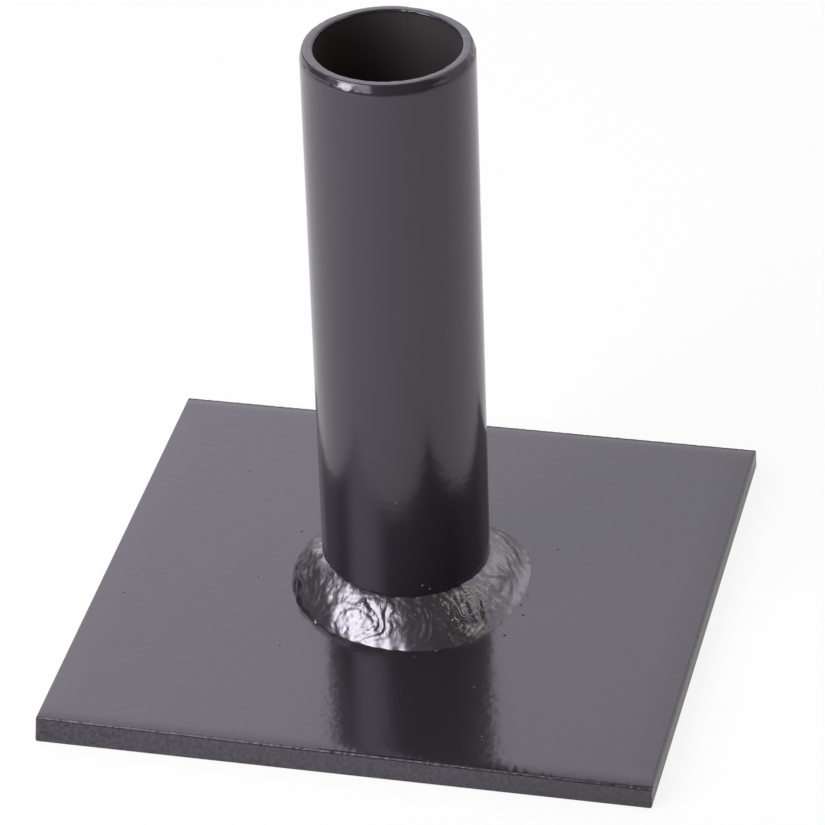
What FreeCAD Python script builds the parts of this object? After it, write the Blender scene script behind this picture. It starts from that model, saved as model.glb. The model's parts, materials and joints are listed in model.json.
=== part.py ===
# Fixed base plate for a scaffold standard.
# A square foot, sheared from hot-rolled flat bar, carries an upright spigot tube.
# One hand-laid fillet weld runs all round the foot of the tube.
# Millimetres, +Z up, origin at the centre of the plate's underside.
import FreeCAD, Part
import math
import os

# Foot plate: flat bar lying along Y, sheared to length at both ends
PLATE_WIDTH = 150.0
PLATE_LENGTH = 150.0
PLATE_THICKNESS = 6.0
BAR_EDGE_RADIUS = 0.6
SHEAR_ROLL_RUN = 3.8
SHEAR_ROLL_DROP = 0.3
SHEAR_BURR_BREAK = 0.35

# Spigot tube: cut square, its rim dressed with a steep chamfer
TUBE_DIAMETER = 41.3
TUBE_WALL = 3.2
TUBE_LENGTH = 150.0
RIM_CHAMFER_HEIGHT = 2.3
RIM_CHAMFER_DEPTH = 1.1
BORE_DEBURR = 0.3

# Weld: a nearly flat fillet of overlapping ripples that bites a little into the tube's foot
WELD_LEG_ON_PLATE = 8.9
WELD_LEG_ON_TUBE = 9.4
WELD_CROWN = 0.5
WELD_BITE = 0.8
BITE_ABOVE_WELD = 0.8
RIPPLE_PITCH = 5.6
RIPPLE_HEIGHT = 0.5
RIPPLE_BOW = 6.0

# The run starts and ends on the left, in a lump that climbs the tube
TIE_IN_ANGLE = math.radians(-148)
TIE_IN_SPREAD = math.radians(33)
TIE_IN_CLIMB = 3.0
TIE_IN_LUMP = 0.7

# The welder's hand, as waves round the joint: (waves in one turn, reach, phase)
TOE_WANDER = ((1, 1.15, 1.9), (3, 1.1, -0.9), (4, 0.6, -1.7))
RIPPLE_WANDER = ((3, 1.4, 0.0), (5, 1.4, 0.0))

# Fineness of the weld's skin: rows from toe to toe, and poles along each ripple
SKIN_ROWS = (0.0, 0.2, 0.5, 0.8, 1.0)
SKIN_RUN_IN = 2.4
POLES_PER_RIPPLE = 4
SKIN_DEGREE = 3

TUBE_RADIUS = TUBE_DIAMETER / 2
BORE_RADIUS = TUBE_RADIUS - TUBE_WALL
TUBE_FOOT = PLATE_THICKNESS
TUBE_TOP = TUBE_FOOT + TUBE_LENGTH
BITE_TOP = TUBE_FOOT + WELD_LEG_ON_TUBE + TIE_IN_CLIMB + BITE_ABOVE_WELD
FULL_TURN = 2 * math.pi
AXIS = FreeCAD.Vector(0, 0, 1)


def turned(profile):
    """Solid turned about Z from a closed outline of (radius, height) corners."""
    corners = [FreeCAD.Vector(radius, 0, height) for radius, height in profile]
    outline = Part.makePolygon(corners + corners[:1])
    return Part.Face(outline).revolve(FreeCAD.Vector(), AXIS, 360)


def flat_bar():
    """Rolled bar along Y, its four long edges rounded by the mill."""
    corner = FreeCAD.Vector(-PLATE_WIDTH / 2, -PLATE_LENGTH / 2, 0)
    bar = Part.makeBox(PLATE_WIDTH, PLATE_LENGTH, PLATE_THICKNESS, corner)
    along = [edge for edge in bar.Edges if abs(edge.tangentAt(edge.FirstParameter).y) > 0.5]
    return bar.makeFillet(BAR_EDGE_RADIUS, along)


def sheared_length():
    """Prism across the bar with the side view of both cuts.

    The blade draws the top face down in an arc before the steel parts, which leaves a crisp lip
    above the flat of the cut. The burr along the underside is knocked off.
    """
    half = PLATE_LENGTH / 2
    start = half - SHEAR_ROLL_RUN
    lip = PLATE_THICKNESS - SHEAR_ROLL_DROP
    radius = (SHEAR_ROLL_RUN ** 2 + SHEAR_ROLL_DROP ** 2) / (2 * SHEAR_ROLL_DROP)
    mid_turn = math.atan2(SHEAR_ROLL_DROP, SHEAR_ROLL_RUN)
    mid = start + radius * math.sin(mid_turn)
    mid_height = PLATE_THICKNESS - radius * (1 - math.cos(mid_turn))

    def at(y, z):
        return FreeCAD.Vector(-PLATE_WIDTH / 2, y, z)

    under = [
        at(half, lip),
        at(half, SHEAR_BURR_BREAK),
        at(half - SHEAR_BURR_BREAK, 0),
        at(SHEAR_BURR_BREAK - half, 0),
        at(-half, SHEAR_BURR_BREAK),
        at(-half, lip),
    ]
    outline = [
        Part.makeLine(at(-start, PLATE_THICKNESS), at(start, PLATE_THICKNESS)),
        Part.Arc(at(start, PLATE_THICKNESS), at(mid, mid_height), under[0]).toShape(),
        *(Part.makeLine(a, b) for a, b in zip(under, under[1:])),
        Part.Arc(under[-1], at(-mid, mid_height), at(-start, PLATE_THICKNESS)).toShape(),
    ]
    return Part.Face(Part.Wire(outline)).extrude(FreeCAD.Vector(PLATE_WIDTH, 0, 0))


def base_plate():
    return flat_bar().common(sheared_length())


def spigot_tube():
    """Open tube. The weld has eaten a shallow taper into the outside of its foot."""
    return turned([
        (BORE_RADIUS, TUBE_FOOT),
        (TUBE_RADIUS - WELD_BITE, TUBE_FOOT),
        (TUBE_RADIUS, BITE_TOP),
        (TUBE_RADIUS, TUBE_TOP - RIM_CHAMFER_HEIGHT),
        (TUBE_RADIUS - RIM_CHAMFER_DEPTH, TUBE_TOP),
        (BORE_RADIUS + BORE_DEBURR, TUBE_TOP),
        (BORE_RADIUS, TUBE_TOP - BORE_DEBURR),
    ])


def wandering(waves, angle):
    """How far the hand has strayed at one angle round the joint."""
    return sum(reach * math.sin(count * angle + phase) for count, reach, phase in waves)


def weld_section(angle, ripples):
    """Poles of the weld's skin at one angle, from its toe on the plate to inside the tube.

    The face is a straight chord from toe to toe, pushed out along its normal by an arch and by
    scalloped ripples. Each ripple is a crescent that trails behind at both toes.
    """
    from_tie_in = math.remainder(angle - TIE_IN_ANGLE, FULL_TURN)
    tie_in = math.exp(-(from_tie_in / TIE_IN_SPREAD) ** 2)
    leg = WELD_LEG_ON_PLATE + wandering(TOE_WANDER, angle)
    climb = WELD_LEG_ON_TUBE + TIE_IN_CLIMB * tie_in
    crown = WELD_CROWN + TIE_IN_LUMP * tie_in
    strayed = wandering(RIPPLE_WANDER, angle)

    poles = []
    for share in SKIN_ROWS:
        arch = 4 * share * (1 - share)
        trail = RIPPLE_BOW * (2 * share - 1) ** 2
        phase = ripples * angle / 2 + math.pi * (trail + strayed) / RIPPLE_PITCH
        scallop = RIPPLE_HEIGHT * (abs(math.sin(phase)) - 0.5)
        push = arch * (crown + scallop) / math.hypot(leg, climb)
        poles.append((TUBE_RADIUS + leg * (1 - share) + push * climb, TUBE_FOOT + climb * share + push * leg))
    poles.append((TUBE_RADIUS - SKIN_RUN_IN, BITE_TOP))
    return [FreeCAD.Vector(radius * math.cos(angle), radius * math.sin(angle), height) for radius, height in poles]


def weld_blank():
    """Solid under the weld's skin, before the tube is taken out of it."""
    middle = TUBE_RADIUS + WELD_LEG_ON_PLATE / 2
    ripples = round(FULL_TURN * middle / RIPPLE_PITCH)
    columns = ripples * POLES_PER_RIPPLE
    poles = [weld_section(FULL_TURN * i / columns, ripples) for i in range(columns)]
    spans = len(poles[0]) - SKIN_DEGREE
    clamped = SKIN_DEGREE + 1
    skin = Part.BSplineSurface()
    skin.buildFromPolesMultsKnots(
        poles,
        [1] * (columns + 1),
        [clamped] + [1] * (spans - 1) + [clamped],
        list(range(columns + 1)),
        list(range(spans + 1)),
        True,
        False,
        SKIN_DEGREE,
        SKIN_DEGREE,
    )
    side = skin.toShape()
    lids = [Part.Face(Part.Wire(edge)) for edge in side.Edges if edge.isClosed()]
    closed = Part.makeCompound([side] + lids)
    closed.sewShape()
    return Part.Solid(closed)


def weld_bead():
    """Skin's solid less the tube, so that it seats on the tube and the plate without a gap."""
    tube_form = turned([
        (0, 0),
        (TUBE_RADIUS - WELD_BITE, 0),
        (TUBE_RADIUS - WELD_BITE, TUBE_FOOT),
        (TUBE_RADIUS, BITE_TOP),
        (TUBE_RADIUS, TUBE_TOP),
        (0, TUBE_TOP),
    ])
    return weld_blank().cut(tube_form)


os.makedirs("parts", exist_ok=True)
for piece in (base_plate, spigot_tube, weld_bead):
    (solid,) = piece().Solids
    solid.exportStep("parts/" + piece.__name__ + ".step")
    print(piece.__name__, "valid:", solid.isValid(), "volume:", round(solid.Volume, 1))
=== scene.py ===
import json
import math

import bmesh
import bpy
import numpy as np
from mathutils import Matrix, Vector


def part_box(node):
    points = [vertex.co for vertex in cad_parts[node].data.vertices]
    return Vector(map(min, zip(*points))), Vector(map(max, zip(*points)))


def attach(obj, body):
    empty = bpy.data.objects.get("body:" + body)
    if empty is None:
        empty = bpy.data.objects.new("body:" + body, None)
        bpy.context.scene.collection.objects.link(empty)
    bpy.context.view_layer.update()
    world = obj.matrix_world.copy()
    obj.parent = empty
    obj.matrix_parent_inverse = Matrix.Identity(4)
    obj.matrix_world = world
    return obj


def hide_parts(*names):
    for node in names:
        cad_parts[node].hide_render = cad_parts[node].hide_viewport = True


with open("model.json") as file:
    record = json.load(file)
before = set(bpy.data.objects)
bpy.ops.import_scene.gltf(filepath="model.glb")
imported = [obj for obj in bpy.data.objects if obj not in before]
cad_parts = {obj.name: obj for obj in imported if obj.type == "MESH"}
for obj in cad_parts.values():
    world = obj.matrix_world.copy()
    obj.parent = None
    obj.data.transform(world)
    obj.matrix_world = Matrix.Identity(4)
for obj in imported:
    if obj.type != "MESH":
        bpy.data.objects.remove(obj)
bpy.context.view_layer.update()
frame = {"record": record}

# Foot plate
# A square cut from 6 mm hot-rolled flat bar. The mill rounded its left and right edges; front and back
# were cut in a shear, which drew the top face down to a ragged lip. Sprayed with charcoal paint.
MM = 0.001
FULL_TURN = 2 * math.pi
PLATE_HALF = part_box("base_plate")[1].x / MM
PLATE_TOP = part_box("base_plate")[1].z / MM
PLATE_CORNER = 0.35
PLATE_SIDE_POINTS = 300
PLATE_CORNER_POINTS = 7
BAR_EDGE_RADIUS = 0.6
SHEAR_OUT_OF_SQUARE = 0.8
LIP_INSET = (1.9, 0.25)
LIP_DROP = (0.28, 0.50)
LIP_RUN = (4.0, 4.6)
LIP_RAGGEDNESS = 0.025
LIP_ROUNDING = 0.45
LIP_SWELL = 0.15
LIP_SWELL_DEPTH = 0.8
LIP_SWELL_ROUNDING = LIP_SWELL_DEPTH / 2.4
DROOP_STEPS = (0, 0.2, 0.4, 0.55, 0.7, 0.8, 0.9)
DROOP_POWER = 2.6
# How many rows just under the sheared lip take a dark line of painted shade.
SHADED_CREASE_ROWS = 3
FOOT_BREAK = 0.55
UNDERSIDE_RUN = 4.0
FACE_INSETS = (58.0, 36.0, 14.0, 9.0)
# How much the lip's pale dashes, rubbed paint and painted highlight, thin out from left to right.
LIP_WEAR_AND_GLINT_LOSS = 0.7
CUT_TEAR_LOSS = 0.4

PLATE_DULLNESS = 0.11
PAINT_IOR = 1.62
PAINT_CLOUD_SIZE = 14
PEEL_SIZE = 2.0
PEEL_DEPTH = 0.033 * MM
NIB_SPACING = 9.0
NIB_RADIUS = 0.34
NIB_SHARE = 0.22
NIB_HEIGHT = 0.03 * MM
TEAR_SIZE = 0.9
TEAR_EDGE = (0.3, 0.7)
TEAR_DEPTH = 0.06 * MM
# Grain and threshold of the lip's pale dashes, partly rubbed paint and partly a painted highlight.
RUB_AND_GLINT_SIZE = 1.1
RUB_AND_GLINT_EDGE = (0.34, 0.54)
# Painted shade: how far the rows just under the lip are darkened towards the shade tone.
CREASE_SHADE_SHARE = 0.8
PAINT_TONE = (0.0205, 0.0185, 0.0240, 1)
PAINT_PALE_TONE = (0.0240, 0.0218, 0.0275, 1)
PAINT_SHEEN_TINT = (0.92, 0.87, 1.0, 1)
BORE_TONE = (0.039, 0.033, 0.034, 1)
CUT_TONE = (0.056, 0.052, 0.061, 1)
# Painted shade: the dark tone laid as a line in the rows just under the lip.
CREASE_PAINTED_SHADE_TONE = (0.010, 0.009, 0.011, 1)
# Pale tone of the lip's dashes: rubbed paint, and also a painted highlight along the edge.
WORN_AND_HIGHLIGHT_TONE = (0.110, 0.102, 0.117, 1)


def hand_noise(seed, turn, waves):
    """Noise of unit strength along a closed line: sines of whole waves per turn, each in a random phase."""
    phases = np.random.default_rng(seed).uniform(0, FULL_TURN, len(waves))
    field = sum(np.sin(count * turn + phase) for count, phase in zip(waves, phases))
    return field * math.sqrt(2 / len(waves))


def surface(name, points, ring=False, poles=False):
    """A piece from a grid of points in millimetres, one face to each cell of four neighbours.

    Every row closes on itself. A ring also joins its last row to its first; poles draw the first and
    the last row together into single points. Faces look along row step times column step.
    """
    rows, columns = points.shape[:2]
    cells = np.arange(rows * columns).reshape(rows, columns)
    cells = np.hstack([cells, cells[:, :1]])
    if ring:
        cells = np.vstack([cells, cells[:1]])
    corners = [cells[:-1, :-1], cells[1:, :-1], cells[1:, 1:], cells[:-1, 1:]]
    faces = np.stack(corners, axis=-1).reshape(-1, 4)
    mesh = bpy.data.meshes.new(name)
    mesh.vertices.add(rows * columns)
    mesh.vertices.foreach_set("co", (points * MM).astype(np.float32).ravel())
    mesh.loops.add(faces.size)
    mesh.loops.foreach_set("vertex_index", faces.astype(np.int32).ravel())
    mesh.polygons.add(len(faces))
    mesh.polygons.foreach_set("loop_start", np.arange(0, faces.size, 4, dtype=np.int32))
    mesh.update(calc_edges=True)
    if poles:
        close_poles(mesh, rows, columns)
    mesh.shade_smooth()
    piece = bpy.data.objects.new(name, mesh)
    bpy.context.collection.objects.link(piece)
    return piece


def close_poles(mesh, rows, columns):
    """Merges each end row of a grid, whose points already coincide, into one vertex."""
    form = bmesh.new()
    form.from_mesh(mesh)
    form.verts.ensure_lookup_table()
    ends = [*form.verts[:columns], *form.verts[(rows - 1) * columns:]]
    bmesh.ops.remove_doubles(form, verts=ends, dist=1e-6)
    form.to_mesh(mesh)
    form.free()


def add_mask(piece, name, mask):
    """Keeps one number for each point of a piece's grid, for its material to read."""
    attribute = piece.data.attributes.new(name, "FLOAT", "POINT")
    attribute.data.foreach_set("value", mask.astype(np.float32).ravel())


def square_walk(side_points, corner_points):
    """One walk round a square with rounded corners, anticlockwise from the right-hand side.

    Gives the corner centre as a share of its reach in x and y, and the angle that faces out. Along a side
    the centre slides and the angle stays; at a corner the centre stays and the angle turns a quarter.
    """
    slide = np.concatenate([np.linspace(-1, 1, side_points, endpoint=False), np.ones(corner_points)])
    swing = np.linspace(0, FULL_TURN / 4, corner_points, endpoint=False)
    facing = np.concatenate([np.zeros(side_points), swing])
    quarter = np.arange(4)[:, None] * FULL_TURN / 4
    across = np.cos(quarter) - np.sin(quarter) * slide
    along = np.sin(quarter) + np.cos(quarter) * slide
    return across.ravel(), along.ravel(), (facing + quarter).ravel()


def eased(before, corner, after, reach, steps=5):
    """A corner of a profile rounded off: a parabola between two points at one reach along its sides."""
    start = corner + (before - corner) * reach / np.linalg.norm(before - corner, axis=-1, keepdims=True)
    end = corner + (after - corner) * reach / np.linalg.norm(after - corner, axis=-1, keepdims=True)
    share = np.linspace(0, 1, steps)[:, None, None]
    return (1 - share) ** 2 * start + 2 * share * (1 - share) * corner + share ** 2 * end


def plate_surface():
    """Plate from the middle of its top, over the edge and back to the middle of its underside.

    Each row is a rounded rectangle, nearly level. In y it is set in by the sheared profile: a curve that
    droops to the lip, the crisp lip, a swell below it, the flat of the cut, a broken lower edge. Lip and
    droop grow from the left of the front to its right. In x it is set in by the rolled profile at the same
    height: upright between two fillets, each an arc of a circle. Also gives the paint its masks: the lip,
    the rows just under it, where a dark line of painted shade lies, and the cut.
    """
    across, along, out = square_walk(PLATE_SIDE_POINTS, PLATE_CORNER_POINTS)
    turn = np.linspace(0, FULL_TURN, len(out), endpoint=False)
    level = np.ones_like(turn)
    # 0 at the left end of the front, 1 at its right end, one half along the back
    grown = 0.5 + 0.25 * across * (1 - along)
    # full at the front left corner, nothing at the other three
    skew = SHEAR_OUT_OF_SQUARE * (1 - along) * (1 - across) / 4

    ragged = LIP_RAGGEDNESS * hand_noise(1, turn, np.arange(90, 420, 3))
    lip_inset = skew + np.interp(grown, (0, 1), LIP_INSET) + ragged
    lip_drop = np.interp(grown, (0, 1), LIP_DROP) + 0.5 * ragged
    run = np.interp(grown, (0, 1), LIP_RUN)

    def corner(inset, drop):
        return np.stack([inset * level, PLATE_TOP - drop * level], axis=-1)

    share = np.array(DROOP_STEPS)[:, None]
    droop = corner(lip_inset + run * (1 - share), lip_drop * share ** DROOP_POWER)
    lip = corner(lip_inset, lip_drop)
    swell = corner(lip_inset - LIP_SWELL, lip_drop + LIP_SWELL_DEPTH / 2)
    foot = corner(skew, PLATE_TOP)
    under = corner(skew + UNDERSIDE_RUN, PLATE_TOP)
    lip_rows = eased(droop[-1], lip, swell, LIP_ROUNDING)
    swell_rows = eased(lip, swell, foot, LIP_SWELL_ROUNDING)
    cut = swell_rows[-1] + (foot - swell_rows[-1]) * np.linspace(0.15, 0.85, 5)[:, None, None]
    profile = np.concatenate([
        droop,
        lip_rows,
        swell_rows,
        cut,
        eased(cut[-1], foot, under, FOOT_BREAK),
    ])
    face = np.array([PLATE_HALF, *FACE_INSETS])[:, None]
    sheared = np.vstack([face * level, profile[..., 0], face[::-1] * level])
    flat = np.ones_like(face) * level
    height = np.vstack([PLATE_TOP * flat, profile[..., 1], 0 * flat])
    past = np.maximum(height - PLATE_TOP, -height) + BAR_EDGE_RADIUS
    fillet = BAR_EDGE_RADIUS - np.sqrt(BAR_EDGE_RADIUS ** 2 - np.clip(past, 0, BAR_EDGE_RADIUS) ** 2)
    rolled = np.vstack([face * level, fillet[len(face):-len(face)], face[::-1] * level])

    corner_radius = PLATE_CORNER * (1 - sheared / PLATE_HALF)
    x = across * (PLATE_HALF - rolled - corner_radius) + corner_radius * np.cos(out)
    y = along * (PLATE_HALF - sheared - corner_radius) + corner_radius * np.sin(out)

    row = np.arange(len(height))[:, None]
    lip_start = len(face) + len(droop)
    swell_start = lip_start + len(lip_rows)
    on_lip = (row >= lip_start) & (row < swell_start)
    # The rows just under the lip carry a dark line of painted shade.
    in_shaded_crease = (row >= swell_start) & (row < swell_start + SHADED_CREASE_ROWS)
    on_cut = (row >= swell_start) & (row < len(height) - 1)
    on_end = np.sin(out) ** 2
    masks = {
        # The lip carries pale dashes, partly rubbed paint and partly a painted highlight.
        "lip": on_lip * on_end * (1.0 - LIP_WEAR_AND_GLINT_LOSS * grown),
        "crease": in_shaded_crease * on_end,
        "cut": on_cut * (1.0 - CUT_TEAR_LOSS * grown),
    }
    return np.stack([x, y, height], axis=-1), masks


class Wire:
    """A shader socket in Python sums: each operator adds one Math node and gives its result."""

    def __init__(self, tree, socket=None):
        self.tree = tree
        self.socket = socket

    def node(self, kind, inputs=(), output=0, **settings):
        """Adds a node of one type: first its settings, then its sockets' values or links."""
        made = self.tree.nodes.new("ShaderNode" + kind)
        for name, value in settings.items():
            setattr(made, name, value)
        for name, value in dict(inputs).items():
            if isinstance(value, Wire):
                self.tree.links.new(value.socket, made.inputs[name])
            else:
                made.inputs[name].default_value = value
        return Wire(self.tree, made.outputs[output] if len(made.outputs) else None)

    def math(self, operation, *values):
        """Adds one Math node on wires or numbers."""
        return self.node("Math", enumerate(values), operation=operation)

    def mix(self, share, first, second):
        """Colour between two, by a share from 0 to 1."""
        return self.node("Mix", {0: share, 6: first, 7: second}, output=2, data_type="RGBA")

    def step(self, value, start, end):
        """0 below start, 1 above end, smooth in between."""
        stretch = {"Value": value, "From Min": start, "From Max": end}
        return self.node("MapRange", stretch, interpolation_type="SMOOTHSTEP")

    def __add__(self, other):
        return self.math("ADD", self, other)

    def __sub__(self, other):
        return self.math("SUBTRACT", self, other)

    def __rsub__(self, other):
        return self.math("SUBTRACT", other, self)

    def __mul__(self, other):
        return self.math("MULTIPLY", self, other)

    __radd__ = __add__
    __rmul__ = __mul__


def new_material(name):
    """An empty material and the wire that its nodes are added from."""
    material = bpy.data.materials.new(name)
    material.use_nodes = True
    material.node_tree.nodes.clear()
    return material, Wire(material.node_tree)


def grains(wire, place, size, detail=2.0, roughness=0.5):
    """Noise from 0 to 1 on object coordinates, with grains of one size in millimetres."""
    noise = {"Vector": place, "Scale": 1 / (size * MM), "Detail": detail, "Roughness": roughness}
    return wire.node("TexNoise", noise)


def specks(wire, place, spacing, radius, kept):
    """Round dots at random, one to a cell of the spacing, of which a share is kept."""
    cell = {"Vector": place, "Scale": 1 / (spacing * MM)}
    off_middle = wire.node("TexVoronoi", cell)
    chance = wire.node("SeparateColor", {0: wire.node("TexVoronoi", cell, output="Color")})
    dot = 1 - wire.step(off_middle, 0.4 * radius / spacing, radius / spacing)
    return dot * wire.math("LESS_THAN", chance, kept)


def coat_of_paint(wire, tone, roughness, bump, gleam=PAINT_IOR):
    """Finishes a material: the bump is a height in metres, and gleam is the coat's index of refraction."""
    relief = wire.node("Bump", {"Strength": 1.0, "Distance": 1.0, "Height": bump})
    look = {
        "Base Color": tone,
        "Roughness": roughness,
        "IOR": gleam,
        "Specular Tint": PAINT_SHEEN_TINT,
        "Normal": relief,
    }
    wire.node("OutputMaterial", {"Surface": wire.node("BsdfPrincipled", look)})


def charcoal_paint(name, dullness, sheared=False, bored=False):
    """Semi-gloss charcoal: faint clouds in the tone, orange peel, a few nibs of dust under the paint.

    Cut edges are duller, and the lip is pale in dashes, partly rubbed paint and partly a painted
    highlight along the edge. In the bore the spray lies thin and dull.
    """
    material, wire = new_material(name)
    place = wire.node("TexCoord", output="Object")
    cloud = grains(wire, place, PAINT_CLOUD_SIZE)
    peel = grains(wire, place, PEEL_SIZE, 1.5)
    nibs = specks(wire, place, NIB_SPACING, NIB_RADIUS, NIB_SHARE)
    tone = wire.mix(cloud, PAINT_TONE, PAINT_PALE_TONE)
    roughness = dullness + 0.03 * cloud + 0.03 * peel
    bump = PEEL_DEPTH * peel + NIB_HEIGHT * nibs
    if sheared:
        lip = wire.node("Attribute", attribute_name="lip", output="Fac")
        cut = wire.node("Attribute", attribute_name="cut", output="Fac")
        crease = wire.node("Attribute", attribute_name="crease", output="Fac")
        tears = grains(wire, place, TEAR_SIZE, 3.0, 0.6)
        # Pale dashes on the lip, partly rubbed paint and partly a painted highlight along the edge.
        worn_and_glint = lip * wire.step(grains(wire, place, RUB_AND_GLINT_SIZE, 3.0, 0.6), *RUB_AND_GLINT_EDGE)
        tone = wire.mix(wire.step(tears, *TEAR_EDGE) * cut, tone, CUT_TONE)
        # Painted shade: a dark line laid in the rows just under the sheared lip.
        tone = wire.mix(CREASE_SHADE_SHARE * crease, tone, CREASE_PAINTED_SHADE_TONE)
        tone = wire.mix(worn_and_glint, tone, WORN_AND_HIGHLIGHT_TONE)
        roughness = roughness + 0.20 * worn_and_glint + 0.10 * cut + 0.40 * crease
        bump = bump + TEAR_DEPTH * cut * tears
    if bored:
        bare = wire.node("Attribute", attribute_name="bare", output="Fac")
        tone = wire.mix(bare, tone, BORE_TONE)
        roughness = roughness + bare * (0.20 + 0.20 * cloud)
    coat_of_paint(wire, tone, roughness, bump)
    return material


plate_points, plate_masks = plate_surface()
plate = surface("foot_plate", plate_points)
for name, mask in plate_masks.items():
    add_mask(plate, name, mask)
close_poles(plate.data, *plate_points.shape[:2])
plate.data.materials.append(charcoal_paint("charcoal_on_plate", PLATE_DULLNESS, sheared=True))
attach(plate, "root")
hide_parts("base_plate")

# Spigot tube
# Seam-welded steel tube, sawn square. Its outer rim was ground to a steep chamfer by hand, and the flash of
# the long seam still stands in the bore and at the rim behind. Painted with the plate.
TUBE_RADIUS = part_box("spigot_tube")[1].x / MM
TUBE_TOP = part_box("spigot_tube")[1].z / MM
BORE_RADIUS = next(m["dims"]["r_mm"] for m in frame["record"]["mounts"] if m["name"] == "tube_bore")
TUBE_COLUMNS = 480
BORE_ROWS = 44
WALL_ROWS = 14
RIM_CHAMFER_HEIGHT = 2.3
RIM_CHAMFER_DEPTH = 1.1
RIM_SLACK = 0.10
RIM_LAND_ROUNDING = 0.42
RIM_FOOT_ROUNDING = 0.75
RIM_GRIND = 0.006
RIM_SHALLOWS = (
    # degrees round from the front, spread, loss of depth
    (-80, 42, 0.50),
    (105, 38, 0.35),
)
BORE_DEBURR = 0.35
MOUTH_ROUNDING = 0.12
MOUTH_STEPS = 3
BORE_ROWS_END = 1.0
WALL_ROWS_START = 3.4
SEAM_ANGLE = math.radians(89)
SEAM_WIDTH = 0.45
SEAM_HEIGHT = 0.05
BURR_OFFSET = 1.6
BURR_WIDTH = 1.9
TUBE_DULLNESS = 0.14


def near(angle, clock, spread):
    """Bell curve round the tube: 1 at so many degrees round from the front, fading over the spread."""
    off = np.remainder(angle - math.radians(clock - 90) + math.pi, FULL_TURN) - math.pi
    return np.exp(-(off / math.radians(spread)) ** 2)


def tube_surface():
    """Tube turned about Z: up the bore, over the rim, down the chamfer and the outside, and back below.

    The profile is a line of (radius, height) corners, the rim's eased, that sways a little with the
    angle. Near the seam's angle a bell curve of flash stands into the bore, uneven along its length. Also
    gives the mask of the bare bore.
    """
    angle = np.linspace(0, FULL_TURN, TUBE_COLUMNS, endpoint=False)
    level = np.ones_like(angle)
    sway = hand_noise(11, angle, np.arange(2, 9))
    nicks = hand_noise(12, angle, np.arange(9, 48))
    off_seam = np.remainder(angle - SEAM_ANGLE + math.pi, FULL_TURN) - math.pi
    seam = np.exp(-(off_seam * BORE_RADIUS / SEAM_WIDTH) ** 2)
    burr = np.exp(-((off_seam * BORE_RADIUS + BURR_OFFSET) / BURR_WIDTH) ** 2)

    top = TUBE_TOP - RIM_SLACK * np.clip(0.55 + 0.22 * sway + 0.06 * nicks, 0, 1)
    shallow = sum(loss * near(angle, clock, spread) for clock, spread, loss in RIM_SHALLOWS)
    depth = RIM_CHAMFER_DEPTH - shallow + 0.07 * sway + 0.016 * nicks + 0.20 * burr
    height = RIM_CHAMFER_HEIGHT + 0.03 * nicks - 0.12 * sway
    mouth = BORE_DEBURR + 0.03 * nicks - 0.25 * burr

    def corner(radius, z):
        return np.stack(np.broadcast_arrays(radius * level, z * level), axis=-1)

    bore_rows = corner(BORE_RADIUS, np.linspace(PLATE_TOP, TUBE_TOP - BORE_ROWS_END, BORE_ROWS)[:, None])
    mouth_foot = corner(BORE_RADIUS, TUBE_TOP - BORE_DEBURR)
    mouth_edge = corner(BORE_RADIUS + mouth, top)
    land_edge = corner(TUBE_RADIUS - depth, top)
    chamfer_foot = corner(TUBE_RADIUS, TUBE_TOP - height)
    wall_rows = corner(TUBE_RADIUS, np.linspace(TUBE_TOP - WALL_ROWS_START, PLATE_TOP, WALL_ROWS)[:, None])
    chamfer_share = np.linspace(0.22, 0.68, 5)[:, None, None]
    chamfer = land_edge + (chamfer_foot - land_edge) * chamfer_share
    grind = RIM_GRIND * hand_noise(13, angle, np.arange(20, 70)) * np.sin(chamfer_share[:, :, 0] * math.pi)
    chamfer[..., 0] += grind

    profile = np.concatenate([
        bore_rows,
        eased(bore_rows[-1], mouth_foot, mouth_edge, MOUTH_ROUNDING, MOUTH_STEPS),
        eased(mouth_foot, mouth_edge, land_edge, MOUTH_ROUNDING, MOUTH_STEPS),
        eased(mouth_edge, land_edge, chamfer_foot, RIM_LAND_ROUNDING),
        chamfer,
        eased(land_edge, chamfer_foot, wall_rows[0], RIM_FOOT_ROUNDING),
        wall_rows,
    ])
    inner_rows = BORE_ROWS + 2 * MOUTH_STEPS
    seam_z = profile[:inner_rows, :1, 1]
    uneven = 1 + 0.25 * np.sin(0.21 * seam_z) + 0.2 * np.sin(0.83 * seam_z + 1)
    profile[:inner_rows, :, 0] -= SEAM_HEIGHT * seam * uneven
    radius, z = profile[..., 0], profile[..., 1]
    bare = (np.arange(len(profile)) < BORE_ROWS)[:, None] * level
    return np.stack([radius * np.cos(angle), radius * np.sin(angle), z], axis=-1), bare


tube_points, tube_bare = tube_surface()
tube = surface("spigot", tube_points, ring=True)
add_mask(tube, "bare", tube_bare)
tube.data.materials.append(charcoal_paint("charcoal_on_tube", TUBE_DULLNESS, bored=True))
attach(tube, "root")
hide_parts("spigot_tube")

# Weld bead
# One fillet weld laid by hand all round the foot of the tube, starting and ending in a heap on the left.
# Each move of the welder's hand froze as a crescent, broad here and fine there. The paint on it is thick
# and glossy.
WELD_LEG_ON_PLATE = 8.9
WELD_LEG_ON_TUBE = 8.9
WELD_RADIUS = TUBE_RADIUS + WELD_LEG_ON_PLATE / 2
WELD_SINK = 0.05
WELD_INTO_TUBE = 1.2
WELD_INTO_PLATE = 0.5
WELD_FOOT_RAGGEDNESS = 0.09
WELD_TOP_RAGGEDNESS = 0.12
WELD_ARCH_POWER = 0.6
WELD_COLUMNS = 1080
WELD_ROWS = 80
TOE_WANDER = ((1, 1.15, 1.9), (3, 1.1, -0.9), (4, 0.6, -1.7))
TIE_IN_CLOCK = -58
TIE_IN_SPREAD = 33
TIE_IN_CLIMB = 2.0
RIPPLE_BOW_ON_PLATE = 7.0
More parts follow.
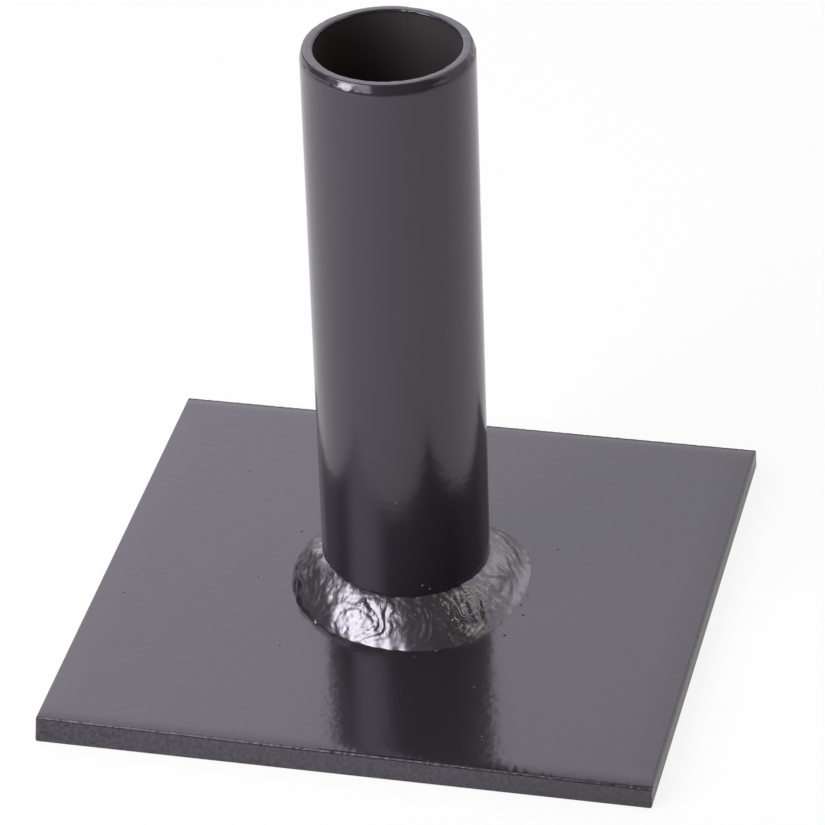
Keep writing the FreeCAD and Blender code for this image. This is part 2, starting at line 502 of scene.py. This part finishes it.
RIPPLE_BOW_ON_TUBE = 6.0
RIPPLE_BOW_POWER = 1.8
RIPPLE_WANDER = 1.1
RIPPLE_WANDER_LENGTH = 9.0
RIPPLE_OWN_HEIGHTS = (0.2, 1.4)
RIPPLE_LEAN = 0.85
RIPPLE_SHARPNESS = 1.4
FINE_PER_RIPPLE = 2.6
FINE_WANDER = 0.7
FINE_WANDER_LENGTH = 3.5
LUMP_LENGTH = 7.0
SMALL_LUMP_LENGTH = 3.2
PIT_LENGTH = 1.5
RIPPLE_STRETCHES = (
    # degrees round from the front, spread, flare, crown, pitch, height, fine ripples, lumps, pits
    (-86, 26, 0.3, 1.9, 7.0, 0.24, 0.00, 0.16, 0.004),
    (-44, 12, 0.2, 0.7, 4.0, 0.12, 0.03, 0.06, 0.008),
    (-22, 11, 0.2, 0.9, 5.0, 0.06, 0.02, 0.10, 0.016),
    (-1, 9, 0.2, 0.4, 2.8, 0.16, 0.05, 0.07, 0.012),
    (21, 13, 0.3, 0.2, 3.6, 0.06, 0.02, 0.05, 0.008),
    (54, 16, 0.4, 0.8, 3.0, 0.18, 0.10, 0.08, 0.028),
    (100, 28, 1.8, 0.8, 4.6, 0.28, 0.03, 0.12, 0.010),
    (152, 36, 0.8, 0.2, 5.6, 0.30, 0.03, 0.14, 0.010),
    (-136, 32, 0.6, 0.4, 5.6, 0.32, 0.03, 0.14, 0.010),
)
WELD_TONE = (0.0080, 0.0074, 0.0083, 1)
WELD_SCALE_TONE = (0.060, 0.048, 0.034, 1)
WELD_PAINT_IOR = 2.4
WELD_CLOUD_SIZE = 7
SCALE_SIZE = 3.0
SCALE_EDGE = (0.55, 0.75)
SCALE_STRENGTH = 0.4
PORE_SIZE = 0.8
PORE_DEPTH = 0.016 * MM
PINHOLE_SPACING = 2.2
PINHOLE_RADIUS = 0.36
PINHOLE_SHARE = 0.30
PINHOLE_DEPTH = 0.12 * MM


def crossing_noise(seed, turn, share, wavelength, waves=48):
    """Noise of unit strength over the bead's face: sines of one wavelength crossing in random directions.

    A direction is split into whole waves round the joint and part waves from toe to toe.
    """
    dice = np.random.default_rng(seed)
    heading = dice.uniform(0, FULL_TURN, waves)
    phase = dice.uniform(0, FULL_TURN, waves)
    length = wavelength * dice.uniform(0.75, 1.35, waves)
    round_joint = np.round(FULL_TURN * WELD_RADIUS / length * np.cos(heading))
    toe_to_toe = math.hypot(WELD_LEG_ON_PLATE, WELD_LEG_ON_TUBE) / length * np.sin(heading)
    field = np.zeros(np.broadcast_shapes(turn.shape, share.shape))
    for whole, part, start in zip(round_joint, toe_to_toe, phase):
        field += np.sin(whole * turn + FULL_TURN * part * share + start)
    return field * math.sqrt(2 / waves)


def wandering(waves, angle):
    """How far the welder's hand has strayed: a sum of sines of (waves in one turn, reach, phase)."""
    return sum(reach * np.sin(count * angle + phase) for count, reach, phase in waves)


def stretch_traits(angle):
    """Flare to pits at any angle: the stretches' values, each weighed by its share of all bell curves."""
    weight = np.stack([near(angle, clock, spread) for clock, spread, *_ in RIPPLE_STRETCHES])
    return np.tensordot(np.array(RIPPLE_STRETCHES)[:, 2:], weight / weight.sum(0), axes=(0, 0))


def weld_surface():
    """Bead's face from its toe on the tube to its toe on the plate, closed through tube and plate.

    The face is a chord from toe to toe, pushed out along its normal by an arch times the crown. The more
    it flares at the plate, the flatter the arch runs out. On the crown stand ripples: rounded crescents
    that trail behind at both toes, each of its own height. Their pitch changes from stretch to stretch,
    and so do the flare, the finer ripples, and the lumps and pits that crossing noise adds.
    """
    angle = np.linspace(0, FULL_TURN, WELD_COLUMNS, endpoint=False)[None, :]
    share = np.linspace(1, 0, WELD_ROWS)[:, None]
    flare, crown, pitch, _, _, lump, pit = stretch_traits(angle)

    tie_in = near(angle, TIE_IN_CLOCK, TIE_IN_SPREAD)
    leg = WELD_LEG_ON_PLATE + wandering(TOE_WANDER, angle)
    climb = WELD_LEG_ON_TUBE + TIE_IN_CLIMB * tie_in
    ragged_foot = WELD_FOOT_RAGGEDNESS * hand_noise(21, angle, np.arange(14, 60)) * (1 - share) ** 8
    ragged_top = WELD_TOP_RAGGEDNESS * hand_noise(22, angle, np.arange(10, 50)) * share ** 8

    pace = 1 / pitch
    count = round(FULL_TURN * WELD_RADIUS * pace.mean())
    beat = np.cumsum(pace, axis=1) / pace.sum() * count
    bow = np.where(share < 0.5, RIPPLE_BOW_ON_PLATE, RIPPLE_BOW_ON_TUBE)
    trail = bow * np.abs(2 * share - 1) ** RIPPLE_BOW_POWER
    trail = trail + RIPPLE_WANDER * crossing_noise(23, angle, share, RIPPLE_WANDER_LENGTH)
    beat = beat + trail / pitch
    _, _, _, ripple, fine, _, _ = stretch_traits(angle + trail / WELD_RADIUS)
    heights = np.random.default_rng(24).uniform(*RIPPLE_OWN_HEIGHTS, count)
    own_height = heights[np.floor(beat).astype(int) % count]
    along = beat - np.floor(beat)
    scallop = ripple * own_height * np.sin(math.pi * (1 - along) ** RIPPLE_LEAN) ** RIPPLE_SHARPNESS
    fine_beat = FINE_PER_RIPPLE * beat + FINE_WANDER * crossing_noise(25, angle, share, FINE_WANDER_LENGTH)
    scallop = scallop + fine * np.abs(np.sin(math.pi * fine_beat))
    small_lumps = 0.5 * crossing_noise(28, angle, share, SMALL_LUMP_LENGTH)
    lumps = lump * (crossing_noise(26, angle, share, LUMP_LENGTH) + small_lumps)
    pits = pit * crossing_noise(27, angle, share, PIT_LENGTH)

    arch = (4 * share * (1 - share)) ** (WELD_ARCH_POWER + flare)
    push = arch * (crown + scallop + lumps) + arch ** 0.5 * pits
    slant = np.hypot(leg, climb)
    spread_toe = flare * ((1 - share) ** 6 - 0.6 * (1 - share))
    radius = TUBE_RADIUS - WELD_SINK + leg * (1 - share) + spread_toe + ragged_foot + push * climb / slant
    z = PLATE_TOP - WELD_SINK + climb * share + ragged_top + push * leg / slant
    inside = np.full_like(angle, TUBE_RADIUS - WELD_INTO_TUBE)
    below = np.full_like(angle, PLATE_TOP - WELD_INTO_PLATE)
    radius = np.vstack([radius, radius[-1:] - 0.3, inside, inside])
    z = np.vstack([z, below, below, z[:1] - 0.8])
    return np.stack([radius * np.cos(angle), radius * np.sin(angle), z], axis=-1)


def weld_paint(name):
    """Glossy, run-in paint, nearly black in the hollows, with brownish scale in its pores."""
    material, wire = new_material(name)
    place = wire.node("TexCoord", output="Object")
    cloud = grains(wire, place, WELD_CLOUD_SIZE)
    pores = grains(wire, place, PORE_SIZE, 3.0, 0.6)
    pinholes = specks(wire, place, PINHOLE_SPACING, PINHOLE_RADIUS, PINHOLE_SHARE)
    scale = wire.step(grains(wire, place, SCALE_SIZE, 4.0, 0.6), *SCALE_EDGE)
    tone = wire.mix(SCALE_STRENGTH * scale, WELD_TONE, WELD_SCALE_TONE)
    roughness = 0.25 + 0.06 * cloud + 0.08 * scale
    bump = PORE_DEPTH * pores - PINHOLE_DEPTH * pinholes
    coat_of_paint(wire, tone, roughness, bump, gleam=WELD_PAINT_IOR)
    return material


bead = surface("weld", weld_surface(), ring=True)
bead.data.materials.append(weld_paint("weld_paint_on_bead"))
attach(bead, "root")
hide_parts("weld_bead")

# Spatter
# Drops of molten steel that flew off the weld and froze on the plate and the tube beside it, and a few
# grains of dust that the paint has closed over. Painted with the rest.
SPATTER_ON_PLATE = (
    # x, y, size
    (27.8, 13.0, 0.62), (29.8, -5.6, 0.50), (31.2, -9.9, 0.48), (28.4, -19.1, 0.55), (21.2, -23.6, 0.42),
    (26.6, -14.4, 0.50), (-24.6, -32.9, 0.40), (31.8, -61.6, 0.34), (25.7, -42.2, 0.40),
    (-7.6, -59.6, 0.32), (8.9, -32.1, 0.30), (-36.8, -4.8, 0.30), (-67.9, -17.1, 0.36), (-50.6, 41.9, 0.34),
    (30.6, -1.1, 0.40), (-31.0, 17.0, 0.45), (12.0, 33.5, 0.50), (-9.0, 36.0, 0.38), (34.0, 20.0, 0.36),
    (-17.8, -21.8, 1.25), (13.5, -28.6, 0.60), (17.8, -25.0, 0.55),
)
SPATTER_ON_TUBE = (
    # degrees round from the front, height, size
    (24, 17.9, 0.50), (29, 16.6, 0.42), (8, 42.1, 0.40), (6, 115.6, 0.34), (152, 21.0, 0.45),
)
SPATTER_SIZE = 0.75
SPATTER_FLATNESS = 0.55
SPATTER_LIFT = 0.3
DROP_COLUMNS = 14
DROP_ROWS = 8


def drop_surfaces():
    """Flattened balls, one row of drops: a small sphere squeezed along the way out of its wall.

    Two thirds of each stands out of the wall. Drops on the plate face up, drops on the tube face out.
    """
    flat = np.array(SPATTER_ON_PLATE)
    high = np.array(SPATTER_ON_TUBE)
    clock = np.radians(high[:, 0])
    facing = np.stack([np.sin(clock), -np.cos(clock), 0 * clock], axis=-1)
    wall = facing * TUBE_RADIUS + np.array([0, 0, 1]) * high[:, 1:2]
    seat = np.vstack([np.column_stack([flat[:, :2], np.full(len(flat), PLATE_TOP)]), wall])
    way_out = np.vstack([np.tile([0.0, 0.0, 1.0], (len(flat), 1)), facing])
    sideways = np.vstack([np.tile([1.0, 0.0, 0.0], (len(flat), 1)), np.cross([0, 0, 1], facing)])
    upward = np.cross(way_out, sideways)
    size = SPATTER_SIZE * np.concatenate([flat[:, 2], high[:, 2]])[:, None, None, None]
    polar = np.linspace(0, math.pi, DROP_ROWS)[None, :, None, None]
    round_drop = np.linspace(0, FULL_TURN, DROP_COLUMNS, endpoint=False)[None, None, :, None]
    around = np.cos(round_drop) * sideways[:, None, None] + np.sin(round_drop) * upward[:, None, None]
    wide = np.sin(polar) * around
    tall = SPATTER_FLATNESS * (np.cos(polar) + SPATTER_LIFT) * way_out[:, None, None]
    return seat[:, None, None] + size * (wide + tall)


drops = [surface("drop", points, poles=True) for points in drop_surfaces()]
with bpy.context.temp_override(active_object=drops[0], selected_editable_objects=drops):
    bpy.ops.object.join()
spatter = drops[0]
spatter.name = "weld_spatter"
spatter.data.name = "weld_spatter"
spatter.data.materials.append(weld_paint("weld_paint_on_spatter"))
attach(spatter, "root")

# Studio
# A white table that runs up into a white backdrop behind the part, and a darker room on the camera's side.
# A soft box with a bright core and a low strip stands on the left. Weaker lamps fill in from the far left,
# warm from the right, from behind on the right and from over the backdrop.
FLOOR_HALF = 4.0
FLOOR_DROP = 0.0002
FLOOR_TONE = (0.86, 0.86, 0.86, 1)
FLOOR_GLOW_SEEN = 0.88
FLOOR_GLOW_MIRRORED = 0.30
WHITE_WALL = (0.5, 0.866, 0.0)
WHITE_WALL_EDGE = (0.25, 0.65)
ROOM_LIGHT = 0.16
LAMP_AIM_HEIGHT = 0.05
LAMP_RIM = 0.05
SOFT_BOXES = (
    # name, degrees left of -Y, elevation, distance, width, height, radiance, core, lean, colour
    ("key", 44.0, 40.0, 1.3, 1.30, 1.30, 6.6, 0.20, 0.0, (1.0, 0.985, 1.0)),
    ("key_core", 44.0, 15.0, 1.3, 0.44, 0.24, 14.0, 0.3, 0.0, (1.0, 0.985, 1.0)),
    ("key_low", 23.0, 20.0, 1.3, 0.70, 0.26, 4.4, 0.3, 0.0, (1.0, 1.0, 1.0)),
    ("left_wall", 112.0, 36.0, 1.6, 1.20, 0.80, 1.1, 0.3, 0.0, (1.0, 1.0, 1.0)),
    ("warm_fill", -100.0, 50.0, 1.3, 0.55, 0.45, 2.6, 0.3, 0.0, (1.0, 0.88, 0.62)),
    ("back_fill", -148.0, 20.0, 2.2, 1.60, 1.10, 0.8, 0.3, 0.0, (1.0, 1.0, 1.0)),
    ("back_bank", 160.0, 38.0, 2.6, 2.6, 2.2, 1.30, 0.7, 2.0, (0.98, 0.96, 1.05)),
)


def white_seen(wire):
    """Share of plain white in what a ray sees: most for the camera, some for mirrors and glass."""
    camera_ray = wire.node("LightPath", output="Is Camera Ray")
    mirror_ray = wire.node("LightPath", output="Is Glossy Ray")
    glass_ray = wire.node("LightPath", output="Is Transmission Ray")
    return FLOOR_GLOW_SEEN * camera_ray + FLOOR_GLOW_MIRRORED * (mirror_ray + glass_ray)


floor_mesh = bpy.data.meshes.new("studio_floor")
floor_corners = np.array([(-1, -1), (1, -1), (1, 1), (-1, 1)]) * FLOOR_HALF
floor_mesh.from_pydata([(x, y, -FLOOR_DROP) for x, y in floor_corners], [], [(0, 1, 2, 3)])
floor = bpy.data.objects.new("studio_floor", floor_mesh)
bpy.context.collection.objects.link(floor)
floor_material, floor_wire = new_material("white_table")
matt = floor_wire.node("BsdfDiffuse", {"Color": FLOOR_TONE})
glow = floor_wire.node("Emission", {"Strength": 1.0})
table_top = floor_wire.node("MixShader", {0: white_seen(floor_wire), 1: matt, 2: glow})
floor_wire.node("OutputMaterial", {"Surface": table_top})
floor_mesh.materials.append(floor_material)

world = bpy.data.worlds.new("studio_room")
bpy.context.scene.world = world
world.use_nodes = True
world.node_tree.nodes.clear()
sky = Wire(world.node_tree)
heading = sky.node("TexCoord", output="Generated")
behind = sky.node("VectorMath", {0: heading, 1: WHITE_WALL}, output="Value", operation="DOT_PRODUCT")
backdrop = ROOM_LIGHT + (1 - ROOM_LIGHT) * sky.step(behind, *WHITE_WALL_EDGE)
seen = sky.node("LightPath", output="Is Camera Ray")
room = sky.node("Background", {"Strength": sky.math("MAXIMUM", backdrop, seen)})
sky.node("OutputWorld", {"Surface": room})


def soft_glow(lamp, core, lean):
    """Dims a lamp from its core out to its rim, both as shares of its width, and leans it to one side."""
    lamp.use_nodes = True
    lamp.node_tree.nodes.clear()
    wire = Wire(lamp.node_tree)
    spot = wire.node("NewGeometry", output="Parametric")
    off = wire.node("VectorMath", {0: spot, 1: (0.5, 0.5, 0.0)}, output="Value", operation="DISTANCE")
    across = wire.node("SeparateXYZ", {0: spot})
    fade = 1 - wire.step(off, core, max(core, 0.5) + LAMP_RIM)
    slope = wire.math("MAXIMUM", 1 + lean * (across - 0.5), 0.0)
    wire.node("OutputLight", {0: wire.node("Emission", {"Strength": fade * slope})})


for name, left, elevation, distance, width, height, radiance, core, lean, colour in SOFT_BOXES:
    lamp = bpy.data.lights.new(name, "AREA")
    lamp.shape = "RECTANGLE"
    lamp.size = width
    lamp.size_y = height
    lamp.energy = radiance * math.pi * width * height
    lamp.color = colour
    soft_glow(lamp, core, lean)
    box = bpy.data.objects.new(name, lamp)
    level = math.cos(math.radians(elevation))
    way = Vector((
        -math.sin(math.radians(left)) * level,
        -math.cos(math.radians(left)) * level,
        math.sin(math.radians(elevation)),
    ))
    box.location = way * distance + Vector((0, 0, LAMP_AIM_HEIGHT))
    box.rotation_euler = way.to_track_quat("Z", "Y").to_euler()
    box.visible_camera = False
    bpy.context.collection.objects.link(box)

# Camera
# A long lens from in front, a little to the right and well above the part. It is tilted slightly, has no
# shift, and keeps everything in focus.
CAMERA_AZIMUTH = math.radians(13.57)
CAMERA_ELEVATION = math.radians(32.16)
CAMERA_ROLL = math.radians(-2.05)
CAMERA_AIM = Vector((-0.0025, 0.0221, 0.0410))
CAMERA_DISTANCE = 1.332
CAMERA_LENS = 235.1
CAMERA_SENSOR = 36.0
back = Vector((
    math.sin(CAMERA_AZIMUTH) * math.cos(CAMERA_ELEVATION),
    -math.cos(CAMERA_AZIMUTH) * math.cos(CAMERA_ELEVATION),
    math.sin(CAMERA_ELEVATION),
))
right = Vector((math.cos(CAMERA_AZIMUTH), math.sin(CAMERA_AZIMUTH), 0.0))
right = Matrix.Rotation(CAMERA_ROLL, 3, back) @ right
up = back.cross(right)
lens = bpy.data.cameras.new("camera")
lens.lens = CAMERA_LENS
lens.sensor_width = CAMERA_SENSOR
camera = bpy.data.objects.new("camera", lens)
turned = Matrix((right, up, back)).transposed().to_4x4()
camera.matrix_world = Matrix.Translation(CAMERA_AIM + CAMERA_DISTANCE * back) @ turned
bpy.context.collection.objects.link(camera)
bpy.context.scene.camera = camera
bpy.context.scene.view_settings.view_transform = "Standard"
